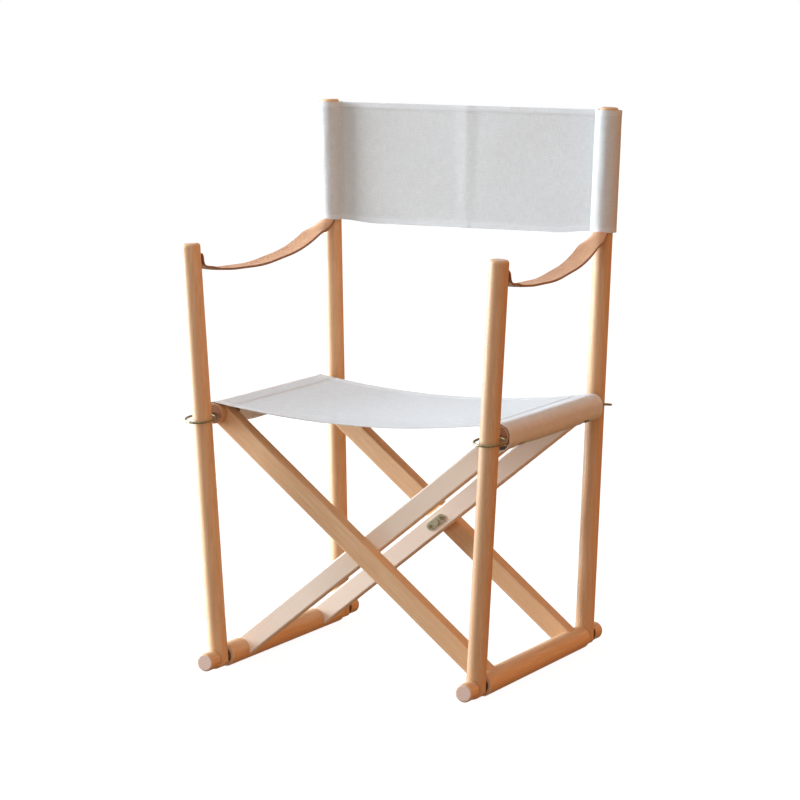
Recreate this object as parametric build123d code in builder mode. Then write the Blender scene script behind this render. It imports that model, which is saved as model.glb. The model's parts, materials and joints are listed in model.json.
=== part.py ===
"""Folding armchair: four round posts, a scissor of two wooden frames, a canvas seat and back.

The chair stands on the floor at z = 0, with its origin midway between its feet.
+X is the chair's right-hand side as seen from the front, the front faces -Y, and +Z is up.
All lengths are in millimetres and all angles in degrees.

Each bottom rail turns down to a round pin at both ends.  The pins carry the feet of the posts.
The outer frame joins the left top rail to the right bottom rail, and the inner frame joins the
right top rail to the left bottom rail, so the two frames cross and pivot like scissors.
A brass ring hangs from an eye screw in each end of the top rails and slides on its post.
"""

import os
from math import atan2, cos, degrees, hypot, radians, sin, sqrt, tan

from build123d import *

# ---- driving dimensions -------------------------------------------------------------------
REAR_HEIGHT = 870.0        # top of the rear posts
FRONT_HEIGHT = 668.0       # top of the front posts
HINGE_X = 223.0            # bottom rail axes, each side of the middle
HINGE_Z = 16.8             # bottom rail axes, above the floor
TOP_RAIL_X = 245.0         # top rail axes, each side of the middle
TOP_RAIL_Z = 398.5         # top rail axes, above the floor
POST_Y = 206.0             # feet of the posts, in front of and behind the middle

POST_RADIUS = 15.0
POST_TOP_ROUND = 5.0
FRONT_SPLAY = 3.45         # outward lean of the front posts
REAR_SPLAY = 1.8           # outward lean of the rear posts
SIDE_LEAN = 1.0            # front posts lean forward and rear posts lean back
FOOT_RADIUS = 15.6         # rounded foot, about the hinge pin

BOTTOM_RAIL_RADIUS = 18.0
BOTTOM_RAIL_HALF = 188.5   # shoulder of the thick middle of the bottom rail
PIN_RADIUS = 8.0           # turned-down ends of the bottom rails
PIN_HALF = 246.0
CAP_RADIUS = 14.0
CAP_HALF = 250.0           # outer end of the turned caps
TOP_RAIL_RADIUS = 16.0
TOP_RAIL_HALF = 180.0

LEG_WIDTH = 32.0           # leg section in the plane of its frame
LEG_THICKNESS = 24.0       # leg section along Y
OUTER_LEG_Y = 152.0        # outer frame's legs, in front of and behind the middle
INNER_LEG_Y = 126.0        # inner frame's legs
TENON_RADIUS = 7.0
TENON_START = 6.0          # tenon's end, from the rail's axis

RUNNING_GAP = 0.06         # radial clearance of every turning fit
CANVAS = 1.5               # canvas thickness at the sleeves, two layers
SLEEVE_HALF = 177.0        # seat sleeves, along Y
SEAT_SAG = 22.0
BACK_BOTTOM = 673.0
BACK_TOP = 865.0

STRAP_WIDTH = 35.0
STRAP_THICKNESS = 3.5

RING_RADIUS = 24.0         # middle of the ring's wire
RING_WIRE = 1.75
RING_TILT = 8.0            # the ring's outer side hangs lower
EYE_RADIUS = 5.2           # middle of the eye's wire
EYE_WIRE = 1.25
FOLDED_TOP_RAIL_X = 37.0   # top rail axes when the chair is folded

# ---- the scissor's geometry ---------------------------------------------------------------
RISE = TOP_RAIL_Z - HINGE_Z
SPREAD = TOP_RAIL_X + HINGE_X
OPEN_ANGLE = degrees(atan2(RISE, SPREAD))
LEG_LENGTH = hypot(RISE, SPREAD)
PIVOT_Z = HINGE_Z + RISE * HINGE_X / SPREAD

LEFT, RIGHT = -1, 1
FRONT, REAR = -1, 1
SIDES = {"left": LEFT, "right": RIGHT}
ENDS = {"front": FRONT, "rear": REAR}


def save(piece, name):
    """Label one finished piece and write it to its own STEP file."""
    piece.part.label = name
    export_step(piece.part, f"parts/{name}.step")


def post_splay(end):
    return FRONT_SPLAY if end == FRONT else REAR_SPLAY


def post_point(side, end, height):
    """Point on a post's axis at a height above the floor."""
    rise = height - HINGE_Z
    x = side * (HINGE_X + rise * tan(radians(post_splay(end))))
    y = end * (POST_Y + rise * tan(radians(SIDE_LEAN)))
    return Vector(x, y, height)


def post_plane(side, end, height=HINGE_Z):
    """Plane square to a post, with its x axis pointing to the chair's middle."""
    along = post_point(side, end, HINGE_Z + 100) - post_point(side, end, HINGE_Z)
    across = Vector(-side, 0, 0)
    square = across - along * (across.dot(along) / along.dot(along))
    return Plane(origin=post_point(side, end, height), x_dir=square, z_dir=along)


def round_along_y(x, z, radius, start, stop, mode=Mode.ADD):
    """Round bar along Y between two distances from the middle."""
    with BuildSketch(Plane(origin=(x, start, z), x_dir=(1, 0, 0), z_dir=(0, 1, 0))) as section:
        Circle(radius)
    extrude(section.sketch, amount=stop - start, mode=mode)


def leg_plane(top_side, y):
    """Plane square to a leg, at the axis of the top rail, pointing down the leg."""
    down = Vector(-top_side * SPREAD, 0, -RISE)
    return Plane(origin=(top_side * TOP_RAIL_X, y, TOP_RAIL_Z), x_dir=(0, 1, 0), z_dir=down)


def tenon(top_side, y, at_top, mode):
    """Round tenon of a leg, or with Mode.SUBTRACT the mortise that takes it."""
    rail_radius = TOP_RAIL_RADIUS if at_top else BOTTOM_RAIL_RADIUS
    start = TENON_START if at_top else LEG_LENGTH - TENON_START
    length = rail_radius + 4 - TENON_START
    with BuildSketch(leg_plane(top_side, y).offset(start)) as section:
        Circle(TENON_RADIUS)
    extrude(section.sketch, amount=length if at_top else -length, mode=mode)


# ---- posts --------------------------------------------------------------------------------
def make_post(side, end, name):
    height = FRONT_HEIGHT if end == FRONT else REAR_HEIGHT
    plane = post_plane(side, end)
    length = (height - HINGE_Z) / plane.z_dir.Z
    foot = end * POST_Y
    with BuildPart() as post:
        with BuildSketch(plane.offset(-2 * POST_RADIUS)):
            Circle(POST_RADIUS)
        extrude(amount=length + 2 * POST_RADIUS)
        fillet(post.faces().sort_by(Axis.Z)[-1].edges(), radius=POST_TOP_ROUND)
        # the foot is rounded about the hinge pin
        with BuildSketch(Plane(origin=(side * HINGE_X, foot, HINGE_Z), x_dir=(1, 0, 0), z_dir=(0, 1, 0))):
            Circle(FOOT_RADIUS)
            with Locations((0, -height / 2)):
                Rectangle(4 * POST_RADIUS + 60, height)
        extrude(amount=3 * POST_RADIUS, both=True, mode=Mode.INTERSECT)
        round_along_y(side * HINGE_X, HINGE_Z, PIN_RADIUS + RUNNING_GAP,
                      foot - 2 * POST_RADIUS, foot + 2 * POST_RADIUS, Mode.SUBTRACT)
        # pilot hole for the strap's screw, cut from just outside the round of the post
        with BuildSketch(strap_screw_plane(side, end).offset(WASHER_THICKNESS)):
            Circle(SCREW_RADIUS)
        extrude(amount=-SCREW_DEPTH - WASHER_THICKNESS, mode=Mode.SUBTRACT)
    save(post, name)


# ---- leather arm straps, their screws and washers -----------------------------------------
SCREW_RADIUS = 2.0
SUNK_HEAD_RADIUS = 3.8
SUNK_HEAD_DEPTH = 1.6
SCREW_DEPTH = 20.0
STRAP_SCREW_HEIGHT = {FRONT: 645.6, REAR: 689.0}
STRAP_TOP = {FRONT: 651.5, REAR: 700.0}
STRAP_WRAP = 58.0          # the rear end is wrapped about its post, each side of the front
WASHER_RADIUS = 5.2
WASHER_THICKNESS = 1.0


def strap_plane(side):
    """Upright plane along a strap; local x runs from the front post to the rear post."""
    front = post_point(side, FRONT, STRAP_SCREW_HEIGHT[FRONT])
    rear = post_point(side, REAR, STRAP_SCREW_HEIGHT[REAR])
    run = Vector(rear.X - front.X, rear.Y - front.Y, 0)
    normal = run.cross(Vector(0, 0, 1))
    return Plane(origin=(front.X, front.Y, 0), x_dir=run, z_dir=normal), run.length


def strap_screw_plane(side, end):
    """Plane on a post's face under the strap, pointing out of the post along the strap."""
    plane, _ = strap_plane(side)
    out = plane.x_dir * (-end)
    centre = post_point(side, end, STRAP_SCREW_HEIGHT[end])
    return Plane(origin=centre + out * POST_RADIUS, x_dir=(0, 0, 1), z_dir=out)


def make_strap(side, name):
    """Sling between two posts; its rear end is wrapped about the post, inside the canvas."""
    plane, span = strap_plane(side)
    face = POST_RADIUS + STRAP_THICKNESS / 2
    first, last = face, span - face
    with BuildPart() as strap:
        with BuildSketch(plane):
            with BuildLine():
                FilletPolyline((first, STRAP_TOP[FRONT]), (first, 634), (first + 34, 624.5),
                               (first + 80, 620.5), (first + 175, 618.5), (first + 298, 633),
                               (last, 667), (last, BACK_BOTTOM - 1),
                               radius=(8, 100, 400, 400, 350, 6))
            trace(line_width=STRAP_THICKNESS)
        extrude(amount=STRAP_WIDTH / 2, both=True)
        wrap = post_plane(side, REAR, BACK_BOTTOM - 8)
        reach = 2 * POST_RADIUS
        spread = reach * tan(radians(STRAP_WRAP))
        toward = wrap.to_local_coords(wrap.origin + Vector(0, -1, 0))
        facing = degrees(atan2(toward.Y, toward.X))
        with BuildSketch(wrap) as band:
            Circle(POST_RADIUS + STRAP_THICKNESS)
            with BuildSketch(mode=Mode.INTERSECT):
                with Locations(Rotation(0, 0, facing)):
                    Polygon((0, 0), (reach, -spread), (reach, spread), align=None)
        extrude(band.sketch, amount=STRAP_TOP[REAR] - BACK_BOTTOM + 8)
        # the strap lies on the round posts, so its back is hollowed to them
        for end in (FRONT, REAR):
            with BuildSketch(post_plane(side, end, 600)):
                Circle(POST_RADIUS)
            extrude(amount=120, mode=Mode.SUBTRACT)
            with BuildSketch(strap_screw_plane(side, end)):
                Circle(SCREW_RADIUS)
            extrude(amount=2 * STRAP_THICKNESS, both=True, mode=Mode.SUBTRACT)
        with BuildSketch(strap_screw_plane(side, REAR).offset(STRAP_THICKNESS - SUNK_HEAD_DEPTH)):
            Circle(SUNK_HEAD_RADIUS)
        extrude(amount=STRAP_THICKNESS, mode=Mode.SUBTRACT)
    save(strap, name)


def make_strap_screw(side, end, name):
    """Round-headed screw with a washer at the front, flush screw inside the canvas at the rear."""
    plane = strap_screw_plane(side, end)
    head_start = STRAP_THICKNESS + WASHER_THICKNESS if end == FRONT else STRAP_THICKNESS - SUNK_HEAD_DEPTH
    with BuildPart() as screw:
        with BuildSketch(plane.offset(-SCREW_DEPTH)):
            Circle(SCREW_RADIUS)
        extrude(amount=SCREW_DEPTH + head_start)
        with BuildSketch(plane.offset(head_start)):
            Circle(4.0 if end == FRONT else SUNK_HEAD_RADIUS)
        extrude(amount=2.2 if end == FRONT else SUNK_HEAD_DEPTH)
        if end == FRONT:
            fillet(screw.faces().sort_by(Axis(plane.origin, plane.z_dir))[-1].edges(), radius=1.4)
            with BuildSketch(plane.offset(head_start + 2.2)):
                Rectangle(9, 1.0)
            extrude(amount=-0.9, mode=Mode.SUBTRACT)
    save(screw, name)


def make_strap_washer(side, end, name):
    with BuildPart() as washer:
        with BuildSketch(strap_screw_plane(side, end).offset(STRAP_THICKNESS)):
            Circle(WASHER_RADIUS)
            Circle(SCREW_RADIUS, mode=Mode.SUBTRACT)
        extrude(amount=WASHER_THICKNESS)
    save(washer, name)


# ---- bottom rails, end caps and foot washers ----------------------------------------------
WASHER_FACES = ((188.6, 190.0), (222.2, 223.6))   # inner and outer washer at each foot


def make_bottom_rail(side, leg_y, name):
    x = side * HINGE_X
    with BuildPart() as rail:
        round_along_y(x, HINGE_Z, BOTTOM_RAIL_RADIUS, -BOTTOM_RAIL_HALF, BOTTOM_RAIL_HALF)
        fillet(rail.edges().filter_by(GeomType.CIRCLE), radius=2)
        round_along_y(x, HINGE_Z, PIN_RADIUS, -PIN_HALF, PIN_HALF)
        # planed flat that rests on the floor
        with BuildSketch(Plane.XY):
            with Locations((x, 0)):
                Rectangle(4 * BOTTOM_RAIL_RADIUS, 3 * BOTTOM_RAIL_HALF)
        extrude(amount=-2 * BOTTOM_RAIL_RADIUS, mode=Mode.SUBTRACT)
        for end in (FRONT, REAR):
            tenon(-side, end * leg_y, False, Mode.SUBTRACT)
    save(rail, name)


def make_cap(side, end, name):
    start = end * WASHER_FACES[1][1]
    with BuildPart() as cap:
        round_along_y(side * HINGE_X, HINGE_Z, CAP_RADIUS, start, end * CAP_HALF)
        fillet(cap.faces().sort_by(Axis.Y)[0 if end == FRONT else -1].edges(), radius=3)
        round_along_y(side * HINGE_X, HINGE_Z, PIN_RADIUS, start, end * PIN_HALF, Mode.SUBTRACT)
    save(cap, name)


def make_foot_washers(side, name):
    with BuildPart() as washers:
        for end in (FRONT, REAR):
            for inner, outer in WASHER_FACES:
                round_along_y(side * HINGE_X, HINGE_Z, 12.5, end * inner, end * outer)
        round_along_y(side * HINGE_X, HINGE_Z, PIN_RADIUS, -PIN_HALF, PIN_HALF, Mode.SUBTRACT)
    save(washers, name)


# ---- top rails and legs -------------------------------------------------------------------
EYE_STEM_RADIUS = 2.2
EYE_STEM_DEPTH = 22.0      # screwed into the rail


def make_top_rail(side, leg_y, name):
    x = side * TOP_RAIL_X
    with BuildPart() as rail:
        round_along_y(x, TOP_RAIL_Z, TOP_RAIL_RADIUS, -TOP_RAIL_HALF, TOP_RAIL_HALF)
        fillet(rail.edges().filter_by(GeomType.CIRCLE), radius=1.5)
        for end in (FRONT, REAR):
            tenon(side, end * leg_y, True, Mode.SUBTRACT)
            round_along_y(x, TOP_RAIL_Z, EYE_STEM_RADIUS, end * (TOP_RAIL_HALF - EYE_STEM_DEPTH),
                          end * TOP_RAIL_HALF, Mode.SUBTRACT)
    save(rail, name)


def make_leg(top_side, y, name):
    """One leg, coped over both rails, with a round tenon into each and a hole at the pivot."""
    outer = abs(y) == OUTER_LEG_Y
    with BuildPart() as leg:
        with BuildSketch(leg_plane(top_side, y)):
            RectangleRounded(LEG_THICKNESS, LEG_WIDTH, 2.5)
        extrude(amount=LEG_LENGTH)
        low, high = y - LEG_THICKNESS, y + LEG_THICKNESS
        round_along_y(top_side * TOP_RAIL_X, TOP_RAIL_Z, TOP_RAIL_RADIUS, low, high, Mode.SUBTRACT)
        round_along_y(-top_side * HINGE_X, HINGE_Z, BOTTOM_RAIL_RADIUS, low, high, Mode.SUBTRACT)
        tenon(top_side, y, True, Mode.ADD)
        tenon(top_side, y, False, Mode.ADD)
        end = FRONT if y < 0 else REAR
        if outer:
            round_along_y(0, PIVOT_Z, PIVOT_RADIUS + RUNNING_GAP, end * (abs(y) - LEG_THICKNESS / 2),
                          end * (PIVOT_END + 1), Mode.SUBTRACT)
        else:
            round_along_y(0, PIVOT_Z, PIVOT_RADIUS, low, high, Mode.SUBTRACT)
            for centre in plate_screw_points(end):
                round_along_y(centre.X, centre.Z, PLATE_SCREW_RADIUS, centre.Y,
                              centre.Y + end * PLATE_SCREW_LENGTH, Mode.SUBTRACT)
    save(leg, name)


# ---- pivots -------------------------------------------------------------------------------
PIVOT_RADIUS = 4.0
PIVOT_END = 158.0          # blind end of the pivot pin inside the outer leg
PLATE_LENGTH = 38.0
PLATE_WIDTH = 14.0
PLATE_THICKNESS = 1.6
PLATE_FACE = INNER_LEG_Y - LEG_THICKNESS / 2
PLATE_SCREW_OFFSET = 13.0
PLATE_SCREW_RADIUS = 1.5
PLATE_SCREW_LENGTH = 15.0


def plate_plane(end):
    """Plane on the inner leg's inside face, with its x axis along the leg."""
    along = Vector(SPREAD, 0, RISE)
    return Plane(origin=(0, end * PLATE_FACE, PIVOT_Z), x_dir=along, z_dir=(0, -end, 0))


def plate_screw_points(end):
    along = plate_plane(end).x_dir
    return [plate_plane(end).origin + along * offset for offset in (-PLATE_SCREW_OFFSET, PLATE_SCREW_OFFSET)]


def make_pivot_plate(end, name):
    with BuildPart() as plate:
        with BuildSketch(plate_plane(end)):
            SlotOverall(PLATE_LENGTH, PLATE_WIDTH)
            Circle(PIVOT_RADIUS, mode=Mode.SUBTRACT)
            with Locations((-PLATE_SCREW_OFFSET, 0), (PLATE_SCREW_OFFSET, 0)):
                Circle(PLATE_SCREW_RADIUS, mode=Mode.SUBTRACT)
        extrude(amount=PLATE_THICKNESS)
    save(plate, name)


def make_plate_screws(name):
    with BuildPart() as screws:
        for end in (FRONT, REAR):
            for centre in plate_screw_points(end):
                face = centre.Y - end * PLATE_THICKNESS
                round_along_y(centre.X, centre.Z, PLATE_SCREW_RADIUS, centre.Y + end * PLATE_SCREW_LENGTH, face)
                round_along_y(centre.X, centre.Z, 3.0, face, face - end * 1.2)
    save(screws, name)


def make_pivot_pin(end, name):
    """Pin fixed in the inner leg and its plate; the outer leg turns on its free end."""
    face = end * (PLATE_FACE - PLATE_THICKNESS)
    with BuildPart() as pin:
        round_along_y(0, PIVOT_Z, PIVOT_RADIUS, face, end * PIVOT_END)
        round_along_y(0, PIVOT_Z, 5.2, face, face - end * 1.4)
    save(pin, name)


def make_pivot_washers(name):
    inner = INNER_LEG_Y + LEG_THICKNESS / 2
    outer = OUTER_LEG_Y - LEG_THICKNESS / 2
    with BuildPart() as washers:
        for end in (FRONT, REAR):
            round_along_y(0, PIVOT_Z, 11.0, end * inner, end * (outer - 0.3))
            round_along_y(0, PIVOT_Z, PIVOT_RADIUS, end * inner, end * outer, Mode.SUBTRACT)
    save(washers, name)


# ---- eye screws and sliding rings ---------------------------------------------------------
RING_SHIFT = {FRONT: 1.5, REAR: 0.8}   # rings sit a little outside the posts while the chair is open


def ring_centre(side, end):
    """Middle of a ring: between the post's places in it when open and when folded."""
    post_open = post_point(side, end, TOP_RAIL_Z)
    folded_rise = LEG_LENGTH * sqrt(1 - (FOLDED_TOP_RAIL_X / (TOP_RAIL_X / SPREAD * LEG_LENGTH)) ** 2)
    post_folded = post_point(side, end, HINGE_Z + folded_rise)
    y = (post_open.Y + post_folded.Y) / 2
    return Vector(post_open.X + side * RING_SHIFT[end], y, TOP_RAIL_Z)


def eye_y(side, end):
    """The eye's centre lies on the rail's axis, where the middle of the ring's wire passes."""
    centre = ring_centre(side, end)
    sideways = centre.X - side * TOP_RAIL_X
    reach = RING_RADIUS * cos(radians(RING_TILT))
    return centre.Y - end * sqrt(reach ** 2 - sideways ** 2)


def make_ring(side, end, name):
    centre = ring_centre(side, end)
    drop = abs(centre.Y - eye_y(side, end)) * tan(radians(RING_TILT))
    middle = Vector(centre.X, centre.Y, centre.Z - drop)
    up = Vector(0, end * sin(radians(RING_TILT)), cos(radians(RING_TILT)))
    plane = Plane(origin=middle, x_dir=(1, 0, 0), z_dir=up)
    with BuildPart() as ring:
        with BuildSketch(Plane(origin=middle + plane.x_dir * RING_RADIUS, x_dir=plane.x_dir, z_dir=plane.y_dir)):
            Circle(RING_WIRE)
        revolve(axis=Axis(middle, plane.z_dir), revolution_arc=360)
    save(ring, name)


def make_eye(side, end, name):
    x, y = side * TOP_RAIL_X, eye_y(side, end)
    with BuildPart() as eye:
        round_along_y(x, TOP_RAIL_Z, EYE_STEM_RADIUS, end * (TOP_RAIL_HALF - EYE_STEM_DEPTH), y - end * EYE_RADIUS)
        with BuildSketch(Plane(origin=(x, y + EYE_RADIUS, TOP_RAIL_Z), x_dir=(1, 0, 0), z_dir=(0, 0, 1))):
            Circle(EYE_WIRE)
        revolve(axis=Axis((x, y, TOP_RAIL_Z), (1, 0, 0)), revolution_arc=360)
    save(eye, name)


# ---- canvas seat --------------------------------------------------------------------------
SLEEVE_TOP_RADIUS = TOP_RAIL_RADIUS + 0.6 + CANVAS
SLEEVE_LOW_RADIUS = 14.0
SLEEVE_LOW = Vector(1.0, -8.5)          # the sleeve hangs loose below its rail
NOTCH_FROM, NOTCH_TO = 38.0, -162.0     # the leg's slit in the sleeve, as angles about the rail
NOTCH_LENGTH = LEG_THICKNESS + 4.0


def sleeve_outline(side, grow=0.0):
    """Outline of the loose canvas loop about a top rail, in the XZ plane."""
    low = (side * (TOP_RAIL_X - SLEEVE_LOW.X), TOP_RAIL_Z + SLEEVE_LOW.Y)
    with BuildSketch(Plane.XZ) as outline:
        with BuildLine():
            CenterArc((side * TOP_RAIL_X, TOP_RAIL_Z), SLEEVE_TOP_RADIUS + grow, 0, 360)
            CenterArc(low, SLEEVE_LOW_RADIUS + grow, 0, 360)
        make_hull()
    return outline.sketch


def make_seat_sleeve(side, leg_y, name):
    x = side * TOP_RAIL_X
    outer = sleeve_outline(side)
    inner = sleeve_outline(side, -CANVAS)
    with BuildPart() as sleeve:
        with BuildSketch(Plane.XZ):
            add(outer)
            add(inner, mode=Mode.SUBTRACT)
        extrude(amount=SLEEVE_HALF, both=True)
        reach = 60.0
        corners = [(x - side * reach * cos(radians(a)), TOP_RAIL_Z + reach * sin(radians(a)))
                   for a in (NOTCH_FROM, (NOTCH_FROM + NOTCH_TO) / 2 + 40, (NOTCH_FROM + NOTCH_TO) / 2 - 40,
                             NOTCH_TO)]
        for end in (FRONT, REAR):
            centre = end * leg_y
            with BuildSketch(Plane(origin=(0, centre, 0), x_dir=(1, 0, 0), z_dir=(0, -1, 0))):
                with BuildLine():
                    Polyline((x, TOP_RAIL_Z), *corners, close=True)
                make_face()
            extrude(amount=NOTCH_LENGTH / 2, both=True, mode=Mode.SUBTRACT)
    save(sleeve, name)


def make_seat_panel(name):
    """The stretched seat between its sleeves, sagging in the middle."""
    edge_z = TOP_RAIL_Z + SLEEVE_TOP_RADIUS - CANVAS / 2
    low_z = edge_z - SEAT_SAG
    with BuildPart() as panel:
        with BuildSketch(Plane.XZ):
            with BuildLine():
                ThreePointArc((-TOP_RAIL_X, edge_z), (0, low_z), (TOP_RAIL_X, edge_z))
            trace(line_width=CANVAS)
        extrude(amount=SLEEVE_HALF, both=True)
        for side, gap in ((LEFT, 0.0), (RIGHT, 0.3)):
            with BuildSketch(Plane.XZ):
                add(sleeve_outline(side, gap))
            extrude(amount=2 * SLEEVE_HALF, both=True, mode=Mode.SUBTRACT)
            with BuildSketch(Plane.XZ):
                with Locations((side * (TOP_RAIL_X + 40), edge_z)):
                    Rectangle(80, 40)
            extrude(amount=2 * SLEEVE_HALF, both=True, mode=Mode.SUBTRACT)
    save(panel, name)


# ---- canvas back --------------------------------------------------------------------------
BACK_SLEEVE_RADIUS = 20.6
BACK_SEAM = 21.5           # from the post's axis to the seam that closes the sleeve
SEAM_RADIUS = 2.0


def back_loop(side, height, shrink=0.0):
    """Teardrop outline of the back's sleeve about a rear post, square to the post."""
    with BuildSketch(post_plane(side, REAR, height)) as loop:
        with BuildLine():
            CenterArc((0, 0), BACK_SLEEVE_RADIUS - shrink, 0, 360)
            CenterArc((BACK_SEAM, 0), SEAM_RADIUS - shrink, 0, 360)
        make_hull()
    return loop.sketch


def make_back_sleeve(side, name):
    along = post_plane(side, REAR).z_dir
    length = (BACK_TOP - BACK_BOTTOM) / along.Z
    with BuildPart() as sleeve:
        extrude(back_loop(side, BACK_BOTTOM), amount=length, dir=along)
        extrude(back_loop(side, BACK_BOTTOM, CANVAS), amount=length, dir=along, mode=Mode.SUBTRACT)
    save(sleeve, name)


def make_back_panel(name):
    """Flat canvas between the rear posts, in the plane of their axes."""
    lean = Vector(0, tan(radians(SIDE_LEAN)), 1)
    plane = Plane(origin=(0, POST_Y, HINGE_Z), x_dir=(1, 0, 0), z_dir=Vector(1, 0, 0).cross(lean))
    low = (BACK_BOTTOM - HINGE_Z) / cos(radians(SIDE_LEAN))
    high = (BACK_TOP - HINGE_Z) / cos(radians(SIDE_LEAN))
    low_x = post_point(RIGHT, REAR, BACK_BOTTOM).X - BACK_SEAM - SEAM_RADIUS - 0.1
    high_x = post_point(RIGHT, REAR, BACK_TOP).X - BACK_SEAM - SEAM_RADIUS - 0.1
    with BuildPart() as panel:
        with BuildSketch(plane):
            with BuildLine():
                Polyline((-low_x, low), (low_x, low), (high_x, high), (-high_x, high), close=True)
            make_face()
        extrude(amount=CANVAS / 2, both=True)
    save(panel, name)


# ---- build every piece --------------------------------------------------------------------
os.makedirs("parts", exist_ok=True)

for side_name, side in SIDES.items():
    bottom_leg_y = INNER_LEG_Y if side == LEFT else OUTER_LEG_Y
    top_leg_y = OUTER_LEG_Y if side == LEFT else INNER_LEG_Y
    make_bottom_rail(side, bottom_leg_y, f"{side_name}_bottom_rail")
    make_foot_washers(side, f"{side_name}_foot_washers")
    make_top_rail(side, top_leg_y, f"{side_name}_top_rail")
    make_seat_sleeve(side, top_leg_y, f"{side_name}_seat_sleeve")
    make_back_sleeve(side, f"{side_name}_back_sleeve")
    make_strap(side, f"{side_name}_arm_strap")
    for end_name, end in ENDS.items():
        corner = f"{end_name}_{side_name}"
        make_post(side, end, f"{corner}_post")
        make_cap(side, end, f"{corner}_cap")
        make_ring(side, end, f"{corner}_ring")
        make_eye(side, end, f"{corner}_eye_screw")
        make_strap_screw(side, end, f"{corner}_strap_screw")
        if end == FRONT:
            make_strap_washer(side, end, f"{corner}_strap_washer")

for end_name, end in ENDS.items():
    make_leg(LEFT, end * OUTER_LEG_Y, f"outer_{end_name}_leg")
    make_leg(RIGHT, end * INNER_LEG_Y, f"inner_{end_name}_leg")
    make_pivot_plate(end, f"{end_name}_pivot_plate")
    make_pivot_pin(end, f"{end_name}_pivot_pin")

make_plate_screws("pivot_plate_screws")
make_pivot_washers("pivot_washers")
make_seat_panel("seat_panel")
make_back_panel("back_panel")
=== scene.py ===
"""Looks of the folding armchair: canvas seat and back, leather straps, beech, brass, light and camera.

Lengths are in metres and angles in degrees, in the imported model's own frame:
+X is the chair's right as seen from the front, the front faces -Y, +Z is up, the floor is at z = 0.
"""

import json
from math import acos, atan2, cos, degrees, hypot, pi, radians, sin, sqrt, tan

import bpy
import bmesh
from mathutils import Matrix, Vector, noise


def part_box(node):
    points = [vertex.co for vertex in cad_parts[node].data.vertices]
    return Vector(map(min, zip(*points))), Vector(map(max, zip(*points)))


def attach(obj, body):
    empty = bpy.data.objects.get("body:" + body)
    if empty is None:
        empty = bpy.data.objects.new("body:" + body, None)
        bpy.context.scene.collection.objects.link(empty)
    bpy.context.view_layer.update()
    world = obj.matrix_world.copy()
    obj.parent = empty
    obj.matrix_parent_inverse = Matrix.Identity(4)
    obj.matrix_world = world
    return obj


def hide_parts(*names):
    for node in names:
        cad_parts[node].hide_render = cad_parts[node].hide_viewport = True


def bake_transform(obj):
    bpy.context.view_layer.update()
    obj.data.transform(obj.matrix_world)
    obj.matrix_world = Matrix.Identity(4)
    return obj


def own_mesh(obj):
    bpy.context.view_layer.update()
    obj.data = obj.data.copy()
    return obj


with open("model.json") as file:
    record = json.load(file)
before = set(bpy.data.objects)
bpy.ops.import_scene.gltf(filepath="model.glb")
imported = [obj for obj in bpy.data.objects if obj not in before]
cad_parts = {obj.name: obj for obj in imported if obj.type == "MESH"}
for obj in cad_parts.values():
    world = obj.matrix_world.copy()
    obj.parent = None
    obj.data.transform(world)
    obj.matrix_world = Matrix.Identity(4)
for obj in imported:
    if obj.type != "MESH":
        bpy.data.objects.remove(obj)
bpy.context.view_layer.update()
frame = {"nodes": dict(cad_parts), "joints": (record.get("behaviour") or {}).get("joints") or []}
NODES = frame["nodes"]

LEFT, RIGHT = -1, 1
FRONT, REAR = -1, 1
SIDES = {"left": LEFT, "right": RIGHT}
ENDS = {"front": FRONT, "rear": REAR}
MM = 0.001

# ---- places taken from the frame ----------------------------------------------------------
rail_low, rail_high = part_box("right_top_rail")
RAIL_X = (rail_low.x + rail_high.x) / 2
RAIL_Z = (rail_low.z + rail_high.z) / 2
RAIL_RADIUS = (rail_high.z - rail_low.z) / 2
SLEEVE_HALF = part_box("right_seat_sleeve")[1].y
INNER_LEG_Y = sum(c.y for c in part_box("inner_rear_leg")) / 2
OUTER_LEG_Y = sum(c.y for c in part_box("outer_rear_leg")) / 2
LEG_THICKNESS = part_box("inner_rear_leg")[1].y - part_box("inner_rear_leg")[0].y
HINGE = {joint["name"]: Vector(joint["pos_m"]) for joint in frame["joints"]}["front_right_swing"]
BACK_LOW, BACK_HIGH = (corner.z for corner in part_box("right_back_sleeve"))

POST_RADIUS = 15 * MM
POST_Y = 206 * MM
SPLAY = {FRONT: 3.45, REAR: 1.8}
SIDE_LEAN = 1.0
LEG_SLOPE = degrees(atan2(RAIL_Z - HINGE.z, RAIL_X + HINGE.x))


def post_point(side, end, height):
    """Point on a post's axis at a height above the floor."""
    rise = height - HINGE.z
    x = side * (HINGE.x + rise * tan(radians(SPLAY[end])))
    return Vector((x, end * (POST_Y + rise * tan(radians(SIDE_LEAN))), height))


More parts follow.
